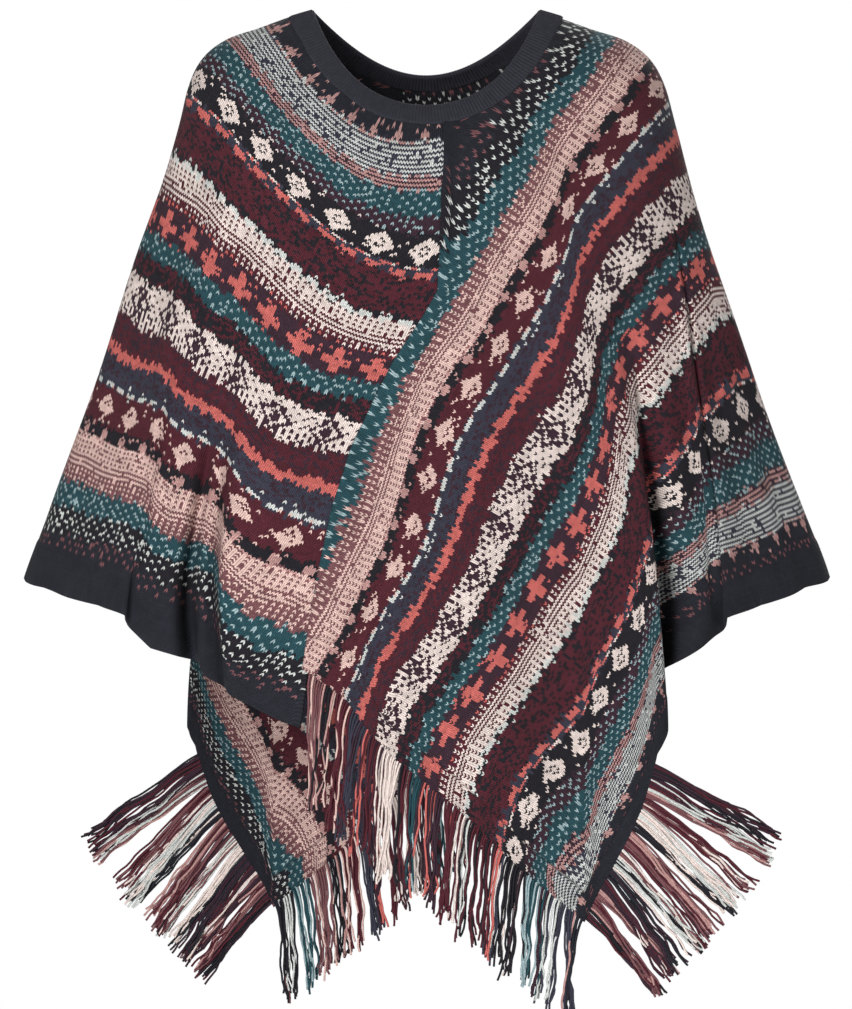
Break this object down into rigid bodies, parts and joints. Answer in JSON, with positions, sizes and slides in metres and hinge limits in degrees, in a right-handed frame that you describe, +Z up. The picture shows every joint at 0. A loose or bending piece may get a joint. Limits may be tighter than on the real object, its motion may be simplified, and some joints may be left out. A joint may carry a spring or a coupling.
{
  "type": "poncho sweater",
  "caption": "Knitted wrap poncho sweater, worn shape: two banded strips crossed at a slanting front and back seam, ribbed round neckband and fringed pointed ends.",
  "frame": {"origin": "middle of the neck opening, level with the points of the neckband that rest on the shoulders", "axes": "+X towards the wearer's left, -Y the front, +Z up as worn"},
  "size_m": [0.7246, 0.3236, 0.9076],
  "materials": {
    "ribbed_charcoal": "fine ribbed knit, charcoal, matt",
    "banded_knit_left": "fine multicoloured knit in steep bands of teal, dusty pink, plum, cream and slate, matt",
    "banded_knit_right": "fine multicoloured knit in bands across the arm of burgundy, teal, coral, cream and slate, matt",
    "fringe_yarn": "loose yarn ends in burgundy, pink, cream and charcoal"
  },
  "bodies": {
    "root": {"neckband": "ribbed_charcoal", "strip_left": "banded_knit_left", "strip_right": "banded_knit_right", "end_fringe_front": "fringe_yarn", "side_fringe_front": "fringe_yarn", "end_fringe_back": "fringe_yarn", "side_fringe_back": "fringe_yarn"}
  },
  "joints": []
}
